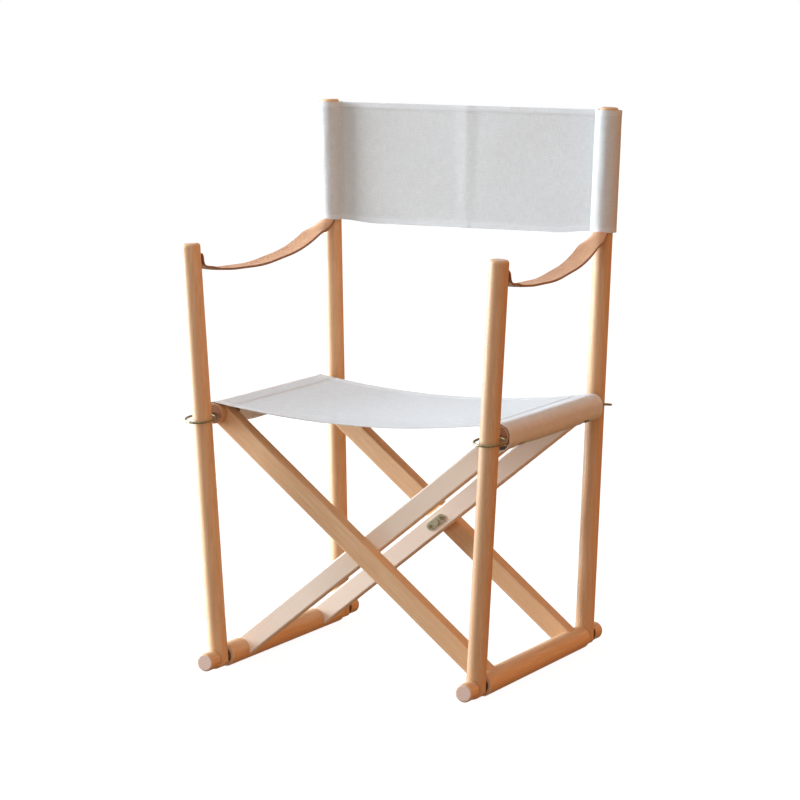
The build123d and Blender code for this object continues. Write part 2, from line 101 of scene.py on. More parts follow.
# ---- node helpers -------------------------------------------------------------------------
class Shader:
    """One procedural material, with short helpers for the nodes that it uses."""

    def __init__(self, name):
        self.material = bpy.data.materials.new(name)
        self.material.use_nodes = True
        self.tree = self.material.node_tree
        self.surface = self.tree.nodes["Principled BSDF"]

    def node(self, kind, **settings):
        made = self.tree.nodes.new(kind)
        for key, value in settings.items():
            setattr(made, key, value)
        return made

    def link(self, source, target):
        self.tree.links.new(source, target)

    def set(self, **values):
        for key, value in values.items():
            self.surface.inputs[key.replace("_", " ")].default_value = value

    def math(self, operation, *values):
        made = self.node("ShaderNodeMath", operation=operation)
        for socket, value in zip(made.inputs, values):
            if isinstance(value, (int, float)):
                socket.default_value = value
            else:
                self.link(value, socket)
        return made.outputs[0]

    def mapped(self, vector, scale=(1, 1, 1), turn=(0, 0, 0), shift=(0, 0, 0)):
        made = self.node("ShaderNodeMapping")
        made.inputs["Scale"].default_value = scale
        made.inputs["Rotation"].default_value = turn
        made.inputs["Location"].default_value = shift
        self.link(vector, made.inputs["Vector"])
        return made.outputs[0]

    def noise(self, vector, scale, detail=3.0, roughness=0.5):
        made = self.node("ShaderNodeTexNoise")
        made.inputs["Scale"].default_value = scale
        made.inputs["Detail"].default_value = detail
        made.inputs["Roughness"].default_value = roughness
        self.link(vector, made.inputs["Vector"])
        return made.outputs["Fac"]

    def ramp(self, value, *stops):
        """Colour ramp through (place, colour) stops, where a colour may be one number for a grey."""
        made = self.node("ShaderNodeValToRGB")
        elements = made.color_ramp.elements
        while len(elements) < len(stops):
            elements.new(0.5)
        for element, (place, colour) in zip(elements, stops):
            element.position = place
            grey = isinstance(colour, (int, float))
            element.color = (colour, colour, colour, 1) if grey else (*colour, 1)
        self.link(value, made.inputs["Fac"])
        return made.outputs["Color"]

    def mix(self, factor, one, two, blend="MIX"):
        made = self.node("ShaderNodeMix", data_type="RGBA", blend_type=blend)
        sockets = [s for s in made.inputs if s.enabled]
        for socket, value in zip(sockets, (factor, one, two)):
            if isinstance(value, (int, float)):
                socket.default_value = value
            elif isinstance(value, tuple):
                socket.default_value = (*value, 1)
            else:
                self.link(value, socket)
        return next(s for s in made.outputs if s.enabled)

    def bump(self, height, distance, strength=1.0):
        made = self.node("ShaderNodeBump")
        made.inputs["Strength"].default_value = strength
        made.inputs["Distance"].default_value = distance
        self.link(height, made.inputs["Height"])
        self.link(made.outputs["Normal"], self.surface.inputs["Normal"])


# ---- materials ----------------------------------------------------------------------------
WOOD_LIGHT = (0.86, 0.62, 0.38)
WOOD_MID = (0.78, 0.50, 0.27)
WOOD_DARK = (0.62, 0.34, 0.16)
WOOD_RED = (0.80, 0.46, 0.23)
WOOD_PALE = (0.94, 0.84, 0.71)
END_GRAIN = ((0.74, 0.56, 0.42), (0.64, 0.45, 0.31))
# painted shade: very dark end grain for the top rails' ends, which lie in the shadow of the seat's sleeves
END_GRAIN_SHADED = ((0.34, 0.16, 0.075), (0.24, 0.10, 0.045))
END_GRAIN_PALE = ((0.80, 0.62, 0.52), (0.70, 0.51, 0.41))


def beech(name, along, tone=1.0, paleness=0.0, end_grain=END_GRAIN):
    """Oiled beech with its grain along a direction, fine dark flecks, and rings on the end grain."""
    shader = Shader(name)
    direction = Vector(along).normalized()
    coords = shader.node("ShaderNodeTexCoord")
    turn = direction.rotation_difference(Vector((0, 0, 1))).to_euler()
    seed = sum(ord(letter) for letter in name) % 97 / 10
    straight = shader.mapped(coords.outputs["Object"], turn=tuple(turn), shift=(seed, 2 * seed, seed))
    bands = shader.noise(shader.mapped(straight, scale=(26, 26, 1.6)), 4.0, 4.0, 0.62)
    streaks = shader.noise(shader.mapped(straight, scale=(260, 260, 5)), 3.0, 3.0, 0.6)
    flecks = shader.noise(shader.mapped(straight, scale=(900, 900, 110)), 1.6, 2.0, 0.5)
    patches = shader.noise(shader.mapped(straight, scale=(3, 3, 2.2)), 2.0, 2.0)
    body = shader.ramp(bands, (0.30, WOOD_LIGHT), (0.52, WOOD_MID), (0.72, WOOD_LIGHT))
    colour = shader.mix(shader.ramp(streaks, (0.42, 0.0), (0.70, 0.55)), body, WOOD_DARK)
    colour = shader.mix(shader.ramp(flecks, (0.62, 0.0), (0.72, 0.45)), colour, WOOD_DARK)
    colour = shader.mix(shader.ramp(patches, (0.35, 0.0), (0.70, 0.30)), colour, WOOD_RED)
    if paleness:
        colour = shader.mix(paleness, colour, WOOD_PALE)
    # end grain: rings about the middle of the log, on faces square to the grain
    facing = shader.node("ShaderNodeVectorMath", operation="DOT_PRODUCT")
    shader.link(coords.outputs["Normal"], facing.inputs[0])
    facing.inputs[1].default_value = tuple(direction)
    end_face = shader.math("ABSOLUTE", facing.outputs["Value"])
    rings = shader.node("ShaderNodeTexWave", wave_type="RINGS", rings_direction="Z")
    rings.inputs["Scale"].default_value = 95
    rings.inputs["Distortion"].default_value = 1.6
    rings.inputs["Detail"].default_value = 2
    shader.link(shader.mapped(straight, shift=(0.03, 0.045, 0)), rings.inputs["Vector"])
    end_colour = shader.ramp(rings.outputs["Fac"], (0.2, end_grain[0]), (0.9, end_grain[1]))
    if tone != 1.0:
        colour = shader.mix(1.0, colour, (tone, tone ** 1.25, tone ** 1.5), blend="MULTIPLY")
    colour = shader.mix(shader.ramp(end_face, (0.86, 0.0), (0.97, 1.0)), colour, end_colour)
    shader.link(colour, shader.surface.inputs["Base Color"])
    shader.link(shader.ramp(streaks, (0.3, 0.42), (0.7, 0.56)), shader.surface.inputs["Roughness"])
    shader.set(Specular_IOR_Level=0.42)
    relief = shader.math("ADD", shader.math("MULTIPLY", streaks, 0.7), shader.math("MULTIPLY", flecks, 0.3))
    shader.bump(relief, 0.12 * MM)
    return shader.material


THREAD_PITCH = 0.75 * MM
SEAT_TINT = (0.68, 0.735, 0.735)
# painted warm light: the seat's sleeves are the seat's own canvas, tinted warmer for the warm light from the
# right and below the seat
SLEEVE_WARM_LIGHT_TINT = (0.77, 0.75, 0.69)
BACK_TINT = (0.69, 0.715, 0.695)
WORN_TINT = (0.63, 0.675, 0.67)
HEM_TINT = (0.79, 0.84, 0.845)
HEM_BLUR = 0.8 * MM                         # width of the step in colour and height at a hem's edge


def canvas(name, middle, half, hem, tint):
    """Plain-woven cotton canvas in UV coordinates measured in metres along the cloth.

    The hems, which lie more than half - hem from the middle along v, are a little lighter.
    """
    shader = Shader(name)
    uv = shader.node("ShaderNodeUVMap", uv_map="cloth").outputs["UV"]
    parts = shader.node("ShaderNodeSeparateXYZ")
    shader.link(uv, parts.inputs[0])
    across = shader.math("SINE", shader.math("MULTIPLY", parts.outputs["X"], pi / THREAD_PITCH))
    along = shader.math("SINE", shader.math("MULTIPLY", parts.outputs["Y"], pi / THREAD_PITCH))
    over = shader.math("GREATER_THAN", shader.math("MULTIPLY", across, along), 0.0)
    warp = shader.math("MULTIPLY", shader.math("ABSOLUTE", across), over)
    weft = shader.math("MULTIPLY", shader.math("ABSOLUTE", along), shader.math("SUBTRACT", 1.0, over))
    weave = shader.math("ADD", warp, weft)
    slubs_along = shader.noise(shader.mapped(uv, scale=(900, 70, 1)), 1.0, 3.0)
    slubs_across = shader.noise(shader.mapped(uv, scale=(70, 900, 1), shift=(3.1, 1.7, 0)), 1.0, 3.0)
    mottle = shader.noise(shader.mapped(uv, scale=(60, 60, 1)), 1.0, 4.0, 0.65)
    worn = shader.noise(shader.mapped(uv, scale=(9, 9, 1), shift=(0.4, 2.2, 0)), 1.0, 3.0)
    dark = tuple(0.86 * c for c in tint)
    light = tuple(min(1.0, 1.07 * c) for c in tint)
    threads = shader.math("ADD", shader.math("MULTIPLY", slubs_along, 0.5),
                          shader.math("MULTIPLY", slubs_across, 0.5))
    colour = shader.ramp(threads, (0.36, dark), (0.52, tint), (0.68, light))
    colour = shader.mix(shader.ramp(mottle, (0.35, 0.0), (0.75, 0.5)), colour, dark)
    colour = shader.mix(shader.ramp(worn, (0.40, 0.0), (0.80, 0.35)), colour, WORN_TINT)
    from_middle = shader.math("ABSOLUTE", shader.math("SUBTRACT", parts.outputs["Y"], middle))
    folded = shader.math("MULTIPLY", shader.math("SUBTRACT", from_middle, half - hem), 1 / HEM_BLUR)
    colour = shader.mix(shader.ramp(folded, (0.0, 0.0), (1.0, 0.45)), colour, HEM_TINT)
    # painted shade: the gaps between the threads are darkened, for the shade in the weave's hollows
    weave_gap_shade = shader.ramp(weave, (0.0, 0.80), (0.45, 1.0))
    colour = shader.mix(1.0, colour, weave_gap_shade, blend="MULTIPLY")
    shader.link(colour, shader.surface.inputs["Base Color"])
    shader.set(Roughness=0.88, Specular_IOR_Level=0.25, Sheen_Weight=0.12, Sheen_Roughness=0.5)
    height = shader.math("ADD", weave, shader.math("MULTIPLY", threads, 1.6))
    shader.bump(height, 0.14 * MM, 0.8)
    return shader.material


def thread(name):
    """Waxed sewing thread, with its twist as fine slanting lines."""
    shader = Shader(name)
    coords = shader.node("ShaderNodeTexCoord").outputs["Object"]
    twist = shader.noise(coords, 2500.0, 2.0)
    shader.link(shader.ramp(twist, (0.35, (0.62, 0.60, 0.54)), (0.65, (0.84, 0.82, 0.77))),
                shader.surface.inputs["Base Color"])
    shader.set(Roughness=0.7, Sheen_Weight=0.1)
    shader.bump(twist, 0.05 * MM)
    return shader.material


LEATHER_EDGE = (0.30, 0.14, 0.07)
CREASE_IN = 3.2 * MM                        # the pressed line, from the strap's edge
CREASE_WIDTH = 0.7 * MM


def leather(name, colour_light, colour_dark, roughness=0.5):
    """Vegetable-tanned strap leather: pores, soft mottling and a pressed line near each edge."""
    shader = Shader(name)
    uv = shader.node("ShaderNodeUVMap", uv_map="strap").outputs["UV"]
    parts = shader.node("ShaderNodeSeparateXYZ")
    shader.link(uv, parts.inputs[0])
    mottle = shader.noise(shader.mapped(uv, scale=(40, 55, 1)), 1.0, 4.0, 0.6)
    pull = shader.noise(shader.mapped(uv, scale=(25, 260, 1)), 1.0, 3.0)
    pores = shader.node("ShaderNodeTexVoronoi", feature="DISTANCE_TO_EDGE")
    pores.inputs["Scale"].default_value = 1300.0
    shader.link(uv, pores.inputs["Vector"])
    colour = shader.ramp(mottle, (0.30, colour_dark), (0.62, colour_light))
    colour = shader.mix(shader.ramp(pull, (0.5, 0.0), (0.8, 0.3)), colour, colour_dark)
    from_edge = shader.math("ABSOLUTE", parts.outputs["Y"])
    edge = shader.ramp(shader.math("MULTIPLY", from_edge, 1 / (STRAP_WIDTH / 2)), (0.80, 0.0), (1.0, 0.75))
    colour = shader.mix(edge, colour, LEATHER_EDGE)
    shader.link(colour, shader.surface.inputs["Base Color"])
    shader.link(shader.ramp(mottle, (0.2, roughness - 0.08), (0.8, roughness + 0.08)),
                shader.surface.inputs["Roughness"])
    shader.set(Specular_IOR_Level=0.45)
    line = shader.math("ABSOLUTE", shader.math("SUBTRACT", from_edge, STRAP_WIDTH / 2 - CREASE_IN))
    groove = shader.ramp(shader.math("MULTIPLY", line, 1 / CREASE_WIDTH), (0.0, 0.0), (1.0, 1.0))
    grain = shader.math("MULTIPLY", shader.math("MINIMUM", pores.outputs["Distance"], 0.25), 1.4)
    shader.bump(shader.math("ADD", grain, shader.math("MULTIPLY", groove, 1.6)), 0.22 * MM)
    return shader.material


def metal(name, light, dark, roughness, scale=180.0):
    """Turned or drawn metal with a dull, uneven patina."""
    shader = Shader(name)
    coords = shader.node("ShaderNodeTexCoord").outputs["Object"]
    patina = shader.noise(coords, scale, 4.0, 0.6)
    fine = shader.noise(coords, 14 * scale, 2.0)
    shader.link(shader.ramp(patina, (0.32, dark), (0.66, light)), shader.surface.inputs["Base Color"])
    shader.link(shader.ramp(patina, (0.3, roughness + 0.14), (0.7, roughness)),
                shader.surface.inputs["Roughness"])
    shader.set(Metallic=1.0)
    shader.bump(fine, 0.02 * MM)
    return shader.material


# ---- mesh helpers -------------------------------------------------------------------------
def new_object(name, mesh, *materials):
    """Object of a mesh, put in the scene with its materials."""
    made = bpy.data.objects.new(name, mesh)
    bpy.context.scene.collection.objects.link(made)
    for material in materials:
        mesh.materials.append(material)
    return made


def grid_object(name, point, us, vs, uv_layer, material, skip=None, uv=None):
    """Sheet of quads through point(u, v), with UVs of (u, v) in metres; skip(u, v) leaves faces out."""
    build = bmesh.new()
    layer = build.loops.layers.uv.new(uv_layer)
    rows = [[build.verts.new(point(u, v)) for v in vs] for u in us]
    for i in range(len(us) - 1):
        for j in range(len(vs) - 1):
            if skip and skip((us[i] + us[i + 1]) / 2, (vs[j] + vs[j + 1]) / 2):
                continue
            corners = ((i, j), (i + 1, j), (i + 1, j + 1), (i, j + 1))
            face = build.faces.new([rows[a][b] for a, b in corners])
            face.smooth = True
            for loop, (a, b) in zip(face.loops, corners):
                loop[layer].uv = uv(us[a], vs[b]) if uv else (us[a], vs[b])
    loose = [v for v in build.verts if not v.link_faces]
    bmesh.ops.delete(build, geom=loose, context="VERTS")
    for edge in build.edges:
        edge.smooth = not edge.is_boundary      # the cut edges of the cloth stay crisp
    mesh = bpy.data.meshes.new(name)
    build.to_mesh(mesh)
    build.free()
    return new_object(name, mesh, material)


def solidify(piece, thickness):
    """Give a sheet its thickness, half on each side of its middle."""
    modifier = piece.modifiers.new("thickness", "SOLIDIFY")
    modifier.thickness = thickness
    modifier.offset = 0.0


def span(start, stop, step):
    """Evenly spaced values from start to stop, about step apart."""
    count = max(1, round(abs(stop - start) / step))
    return [start + (stop - start) * i / count for i in range(count + 1)]


STITCH_LENGTH = 2.6 * MM
STITCH_PITCH = 3.8 * MM
STITCH_RADIUS = 0.36 * MM
STITCH_SIDES = 6
# (share of the stitch's length, thickness, lift), the last two as multiples of STITCH_RADIUS
STITCH_SHAPE = ((0.0, 0.3, -0.4), (0.2, 0.85, 0.25), (0.5, 1.0, 0.55), (0.8, 0.85, 0.25), (1.0, 0.3, -0.4))


def stitches(name, lines, material):
    """Rows of raised stitches. Each line is (point, normal, start, stop): point(t) runs along the row."""
    build = bmesh.new()
    turns = [2 * pi * s / STITCH_SIDES for s in range(STITCH_SIDES)]
    for point, normal, start, stop in lines:
        count = int(abs(stop - start) / STITCH_PITCH)
        for k in range(count):
            middle = start + (stop - start) * (k + 0.5) / count
            half = STITCH_LENGTH / 2 * (1 if stop > start else -1)
            first, last = point(middle - half), point(middle + half)
            up = normal(middle).normalized()
            ahead = (last - first).normalized()
            across = ahead.cross(up).normalized()
            rings = []
            for share, radius, lift in STITCH_SHAPE:
                centre = first.lerp(last, share) + up * STITCH_RADIUS * lift
                reach = STITCH_RADIUS * radius
                rings.append([build.verts.new(centre + reach * (across * cos(turn) + up * sin(turn)))
                              for turn in turns])
            for one, two in zip(rings, rings[1:]):
                for s in range(STITCH_SIDES):
                    after = (s + 1) % STITCH_SIDES
                    face = build.faces.new((one[s], one[after], two[after], two[s]))
                    face.smooth = True
            build.faces.new(rings[0][::-1])
            build.faces.new(rings[-1])
    bmesh.ops.recalc_face_normals(build, faces=build.faces)
    mesh = bpy.data.meshes.new(name)
    build.to_mesh(mesh)
    build.free()
    return new_object(name, mesh, material)


def smooth_step(value, low, high):
    """0 up to low, 1 from high, and an S-curve between them."""
    share = min(1.0, max(0.0, (value - low) / (high - low)))
    return share * share * (3 - 2 * share)


def run_lengths(points):
    """Length along a line of (x, y) points, up to each of them."""
    lengths = [0.0]
    for one, two in zip(points, points[1:]):
        lengths.append(lengths[-1] + hypot(two[0] - one[0], two[1] - one[1]))
    return lengths


def in_order(values):
    """Values in rising order, with repeats left out."""
    return sorted(set(round(value, 6) for value in values))


# ---- canvas seat --------------------------------------------------------------------------
CANVAS = 1.2 * MM
SEAT_SAG = 22 * MM
SLEEVE_RADIUS = RAIL_RADIUS + 1.6 * MM      # middle of the canvas over the rail
LOOSE_RADIUS = 16.4 * MM                    # the sleeve hangs loose below the rail
LOOSE_DROP = 6.5 * MM
LOOSE_BULGE = 2.2 * MM                      # outward curve between the loop below the rail and the seam
SEAM_IN = 27 * MM                           # seam that closes the sleeve, from the rail's axis
HEM = 19 * MM
HEM_STEP = 0.45 * MM                        # height of the folded hem's edge
SLEEVE_HEM = 11 * MM
SLEEVE_HEM_START = SLEEVE_HALF - SLEEVE_HEM - 0.7 * MM
SLEEVE_HEM_STEP = 0.4 * MM
SEAM_DIP = 0.5 * MM
NOTCH_HALF = LEG_THICKNESS / 2 + 2.5 * MM
NOTCH_START = -44.0                         # the legs' cut-out starts here, below the rail's outer side
CUT_FIRST = 8                               # the cut-out leaves the profile's first points whole
PROFILE_STEP = 6                            # degrees between points of the profile round the rail
STITCH_END = 13                             # the sleeve's stitching stops so many points before the end
SEAM_ROWS = (0, 3.2 * MM)                   # rows of stitches, from the seam to the chair's middle
HEM_ROW = 2.5 * MM                          # row of stitches, from the hem's edge outward
SLEEVE_HEM_ROW = 2 * MM
ROW_MARGIN = 3 * MM                         # a row stops so far before the edge of the cloth
SEAT_EDGE_SLOPE = 2 * SEAT_SAG / RAIL_X     # in radians, as the slope is small
PANEL_X = RAIL_X - SLEEVE_RADIUS * sin(SEAT_EDGE_SLOPE)
PANEL_Z = RAIL_Z + SLEEVE_RADIUS * cos(SEAT_EDGE_SLOPE)


def seat_height(x, y):
    """Middle of the seat canvas: a sagging curve, a little tighter along the hems, with faint ripples."""
    share = min(1.0, abs(x) / PANEL_X)
    free = 1 - share ** 2
    tight = 1 - 0.10 * (abs(y) / SLEEVE_HALF) ** 4
    ripple = noise.noise(Vector((x * 5, y * 26, 3.3))) * 0.9 * MM
    ripple += noise.noise(Vector((x * 14, y * 60, 9.1))) * 0.25 * MM
    return PANEL_Z - SEAT_SAG * free * tight + ripple * free


def seat_point(x, y):
    """Point on the middle of the seat canvas, with its hems and the dip along its seam."""
    hem = HEM_STEP * smooth_step(abs(y), SLEEVE_HALF - HEM - HEM_BLUR, SLEEVE_HALF - HEM)
    seam = SEAM_DIP * (1 - smooth_step(abs(abs(x) - (RAIL_X - SEAM_IN)), 0, 3 * MM))
    return Vector((x, y, seat_height(x, y) + hem - seam))


def seat_columns():
    """Places across the seat half, closer together at the seam."""
    seam = RAIL_X - SEAM_IN
    columns = span(0, seam - 4 * MM, 6 * MM) + span(seam - 4 * MM, seam + 4 * MM, MM)
    columns += span(seam + 4 * MM, PANEL_X, 3 * MM)
    return in_order(columns)


def seat_rows():
    """Places along the seat, closer together at the hems' edges."""
    edge = SLEEVE_HALF - HEM
    half = span(0, edge - 1.2 * MM, 5 * MM) + [edge - HEM_BLUR, edge - HEM_BLUR / 2, edge]
    half += span(edge + MM, SLEEVE_HALF, 4 * MM)
    half = in_order(half)
    return [-y for y in reversed(half[1:])] + half


def make_seat_half(side_name, side, material, stitching):
    """Half of the seat's cloth, from the middle of the chair to the rail, with its stitches."""
    panel = grid_object(f"seat_canvas_{side_name}", lambda u, v: seat_point(side * u, v),
                        seat_columns(), seat_rows(), "cloth", material, uv=lambda u, v: (side * u, v))
    if side == LEFT:
        panel.data.flip_normals()
    solidify(panel, CANVAS)
    lines = []
    up = lambda t: Vector((0, 0, 1))
    lift = Vector((0, 0, CANVAS / 2))
    for offset in SEAM_ROWS:
        x = side * (RAIL_X - SEAM_IN - offset)
        lines.append((lambda t, x=x: seat_point(x, t) + lift, up,
                      -SLEEVE_HALF + ROW_MARGIN, SLEEVE_HALF - ROW_MARGIN))
    for end in (FRONT, REAR):
        y = end * (SLEEVE_HALF - HEM + HEM_ROW)
        lines.append((lambda t, y=y: seat_point(side * t, y) + lift, up, 2 * MM, PANEL_X - 4 * MM))
    sewn = stitches(f"seat_stitching_{side_name}", lines, stitching)
    for piece in (panel, sewn):
        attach(piece, f"seat_{side_name}")
        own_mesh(piece)
    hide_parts("seat_panel")
    return panel


def sleeve_profile():
    """The sleeve about a rail as (outward, up) points, from the panel over the rail and back to the seam."""
    points = []
    for angle in span(90 + degrees(SEAT_EDGE_SLOPE), 8, PROFILE_STEP):
        points.append((SLEEVE_RADIUS * cos(radians(angle)), SLEEVE_RADIUS * sin(radians(angle))))
    for angle in span(-4, -150, PROFILE_STEP):
        points.append((0.4 * MM + LOOSE_RADIUS * cos(radians(angle)),
                       -LOOSE_DROP + LOOSE_RADIUS * sin(radians(angle))))
    last = Vector(points[-1])
    seam_z = seat_height(RAIL_X - SEAM_IN, 0) - RAIL_Z - CANVAS
    seam = Vector((-SEAM_IN, seam_z))
    for share in span(0.12, 1, 0.12):
        bulge = sin(pi * share) * LOOSE_BULGE
        point = last.lerp(seam, share)
        points.append((point.x - 0.8 * bulge, point.y - 0.6 * bulge))
    points.append((-SEAM_IN - 5 * MM, seat_height(RAIL_X - SEAM_IN - 5 * MM, 0) - RAIL_Z - CANVAS))
    return points


def make_seat_sleeve(side_name, side, leg_y, material, stitching):
    """Sleeve round a top rail, cut out where the legs join the rail, with its stitches."""
    profile = sleeve_profile()
    lengths = run_lengths(profile)
    angle_at = [degrees(atan2(p[1], p[0])) for p in profile]

    def place(index, y):
        out, up = profile[index]
        centre = Vector((0.2 * MM, -LOOSE_DROP / 2))
        push = (Vector((out, up)) - centre).normalized()
        hem = SLEEVE_HEM_STEP * smooth_step(abs(y), SLEEVE_HEM_START, SLEEVE_HALF - SLEEVE_HEM)
        slack = smooth_step(-up, 0, 14 * MM) * 0.9 * MM * noise.noise(Vector((side * 2.0, y * 18, up * 20)))
        if index == 0:
            hem = 0.0
        grown = Vector((out, up)) + push * (hem + slack)
        return Vector((side * (RAIL_X + grown.x), y, RAIL_Z + grown.y))

    def cut(index, y):
        """Cut-out for the leg; on the left the loop under the rail stops at the leg."""
        below = angle_at[round(index)] < NOTCH_START or profile[round(index)][0] < -LOOSE_RADIUS * 0.7
        at_leg = abs(abs(y) - leg_y) < NOTCH_HALF or (side == LEFT and abs(y) > leg_y)
        return below and at_leg and index > CUT_FIRST

    edges = [leg_y - NOTCH_HALF, leg_y + NOTCH_HALF, SLEEVE_HALF - SLEEVE_HEM, SLEEVE_HEM_START]
    half = in_order(span(0, SLEEVE_HALF, 4 * MM) + edges)
    rows = [-y for y in reversed(half[1:])] + half
    sleeve = grid_object(f"seat_sleeve_{side_name}", lambda u, v: place(round(u), v),
                         list(range(len(profile))), rows, "cloth", material, skip=cut,
                         uv=lambda u, v: (side * (PANEL_X + lengths[round(u)]), v))
    if side == LEFT:
        sleeve.data.flip_normals()
    solidify(sleeve, CANVAS)
    lines = []
    reach = len(profile) - STITCH_END
    if side == LEFT:
        reach = max(i for i, angle in enumerate(angle_at[:reach]) if angle > NOTCH_START) - 1

    def around(t, end):
        """Point t metres along the profile, near one end of the sleeve."""
        y = end * (SLEEVE_HALF - SLEEVE_HEM + SLEEVE_HEM_ROW)
        index = max(i for i, length in enumerate(lengths) if length <= t)
        share = (t - lengths[index]) / (lengths[index + 1] - lengths[index])
        return place(index, y).lerp(place(index + 1, y), share)

    def outward(t):
        point = around(t, REAR) - Vector((side * RAIL_X, 0, RAIL_Z - LOOSE_DROP / 2))
        return Vector((point.x, 0, point.z)).normalized()

    for end in (FRONT, REAR):
        lines.append((lambda t, end=end: around(t, end) + outward(t) * CANVAS / 2, outward,
                      2 * MM, lengths[reach]))
    sewn = stitches(f"seat_sleeve_stitching_{side_name}", lines, stitching)
    for piece in (sleeve, sewn):
        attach(piece, f"seat_{side_name}")
    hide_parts(f"{side_name}_seat_sleeve")
    return sleeve


# ---- canvas back --------------------------------------------------------------------------
BACK_RADIUS = POST_RADIUS + 5 * MM          # middle of the canvas; the straps end between it and the post
BACK_SEAM = 21.5 * MM                       # seam, from the post's axis
BACK_HEM = 8.5 * MM
BACK_HEM_STEP = 0.4 * MM
BACK_SLEEVE_STEP = 0.12 * MM                # the sleeve's own hem is pressed almost flat
SEAM_TAIL = 2 * MM                          # the sleeve's edges run on past the seam
SEAM_GAP = 0.9 * MM                         # each side of the sleeve at the seam, from its middle
TAIL_GAP = 0.75 * MM
BACK_CANVAS = 1.3 * CANVAS                  # the back's cloth is a little heavier
BACK_HEM_ROW = 2 * MM                       # row of stitches, from the hem's edge outward
BACK_SEAM_ROWS = (3.5 * MM, 6.5 * MM)       # rows of stitches, from the seam to the chair's middle


def back_hem(height):
    """1 in the hems at the back's lower and upper edges, 0 between them."""
    return 1 - smooth_step(min(height - BACK_LOW, BACK_HIGH - height), BACK_HEM, BACK_HEM + HEM_BLUR)


def back_rows(step):
    """Heights about step apart on the back, with the hems' edges."""
    hems = [BACK_LOW + BACK_HEM, BACK_LOW + BACK_HEM + HEM_BLUR,
            BACK_HIGH - BACK_HEM, BACK_HIGH - BACK_HEM - HEM_BLUR]
    return in_order(span(BACK_LOW, BACK_HIGH, step) + hems)


def back_frame(side, height):
    """Point on the rear post's axis, the direction to the chair's middle and the direction to the front."""
    along = (post_point(side, REAR, height + 0.1) - post_point(side, REAR, height)).normalized()
    inward = Vector((-side, 0, 0))
    inward = (inward - along * inward.dot(along)).normalized()
    front = Vector((0, -1, 0))
    front = (front - along * front.dot(along)).normalized()
    return post_point(side, REAR, height), inward, front


def back_loop():
    """Teardrop about the post as (inward, front) points: from the seam round the post and back to it."""
    tip = BACK_SEAM + SEAM_TAIL
    touch = degrees(acos(BACK_RADIUS / BACK_SEAM))
    points = [(tip, TAIL_GAP), (BACK_SEAM, SEAM_GAP)]
    for angle in span(touch, 360 - touch, 5.5):
        points.append((BACK_RADIUS * cos(radians(angle)), BACK_RADIUS * sin(radians(angle))))
    points += [(BACK_SEAM, -SEAM_GAP), (tip, -TAIL_GAP)]
    return points


def make_back_sleeve(side_name, side, material):
    """Sleeve round a rear post, closed by the seam."""
    loop = back_loop()
    lengths = run_lengths(loop)

    def place(index, height):
        base, inward, front = back_frame(side, height)
        along, out = loop[index]
        hem = BACK_SLEEVE_STEP * back_hem(height)
        loose = 0.35 * MM * noise.noise(Vector((index * 0.2, height * 22, side * 4.0)))
        grow = 1 + (hem + loose) / BACK_RADIUS
        return base + inward * along * (grow if abs(along) < BACK_SEAM - MM else 1) + front * out * grow

    sleeve = grid_object(f"back_sleeve_{side_name}", lambda u, v: place(round(u), v),
                         list(range(len(loop))), back_rows(5 * MM), "cloth", material,
                         uv=lambda u, v: (lengths[round(u)], v))
    if side == LEFT:
        sleeve.data.flip_normals()
    solidify(sleeve, CANVAS)
    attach(sleeve, f"rear_{side_name}_post")
    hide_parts(f"{side_name}_back_sleeve")
    return sleeve


def back_point(side, share, height):
    """Point on the back canvas: share 0 at the middle of the chair and 1 at the seam by the post."""
    base, inward, front = back_frame(side, height)
    seam = base + inward * BACK_SEAM
    x = seam.x * share
    up = (height - BACK_LOW) / (BACK_HIGH - BACK_LOW)
    slack = 1 - share ** 2
    crease = -1.1 * MM * (1 - smooth_step(abs(x), 0, 22 * MM)) * (0.6 + 0.4 * up)
    bow = 2.5 * MM * slack * (1 - abs(2 * up - 1) ** 2 * 0.5)
    ripple = noise.noise(Vector((x * 9, height * 16, 1.7))) * 1.3 * MM * slack
    fine = noise.noise(Vector((x * 30, height * 34, 5.2))) * 0.25 * MM * slack
    pull = -0.8 * MM * smooth_step(share, 0.8, 1.0) * sin(height * 160)
    hem = BACK_HEM_STEP * back_hem(height)
    droop = -4.5 * MM * smooth_step(1 - share, 0, 0.28) * (1 - up)
    y = seam.y + bow + crease + ripple + fine + 0.3 * pull * slack - hem
    return Vector((x, y, height + droop))


def make_back_half(side_name, side, material, stitching):
    """Half of the back's cloth, from the middle of the chair to the seam, with its stitches."""
    shares = sorted(set(round(s, 5) for s in span(0, 0.9, 0.022) + span(0.9, 1, 0.0125)))
    panel = grid_object(f"back_canvas_{side_name}", lambda u, v: back_point(side, u, v), shares,
                        back_rows(4.5 * MM), "cloth", material, uv=lambda u, v: (side * u * RAIL_X, v))
    if side == LEFT:
        panel.data.flip_normals()
    solidify(panel, BACK_CANVAS)
    lines = []
    lift = Vector((0, -BACK_CANVAS / 2, 0))
    face = lambda t: Vector((0, -1, 0))
    width = post_point(RIGHT, REAR, BACK_LOW).x - BACK_SEAM
    for height in (BACK_LOW + BACK_HEM - BACK_HEM_ROW, BACK_HIGH - BACK_HEM + BACK_HEM_ROW):
        lines.append((lambda t, h=height: back_point(side, t / width, h) + lift, face,
                      2 * MM, width - 5 * MM))
    for inside in BACK_SEAM_ROWS:
        lines.append((lambda t, s=1 - inside / width: back_point(side, s, t) + lift, face,
                      BACK_LOW + 2 * MM, BACK_HIGH - 2 * MM))
    sewn = stitches(f"back_stitching_{side_name}", lines, stitching)
    seam_low = back_point(side, 1, BACK_LOW)
    seam_high = back_point(side, 1, BACK_HIGH)
    for piece in (panel, sewn):
        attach(piece, f"rear_{side_name}_post")
        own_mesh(piece)
    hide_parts("back_panel")
    return panel


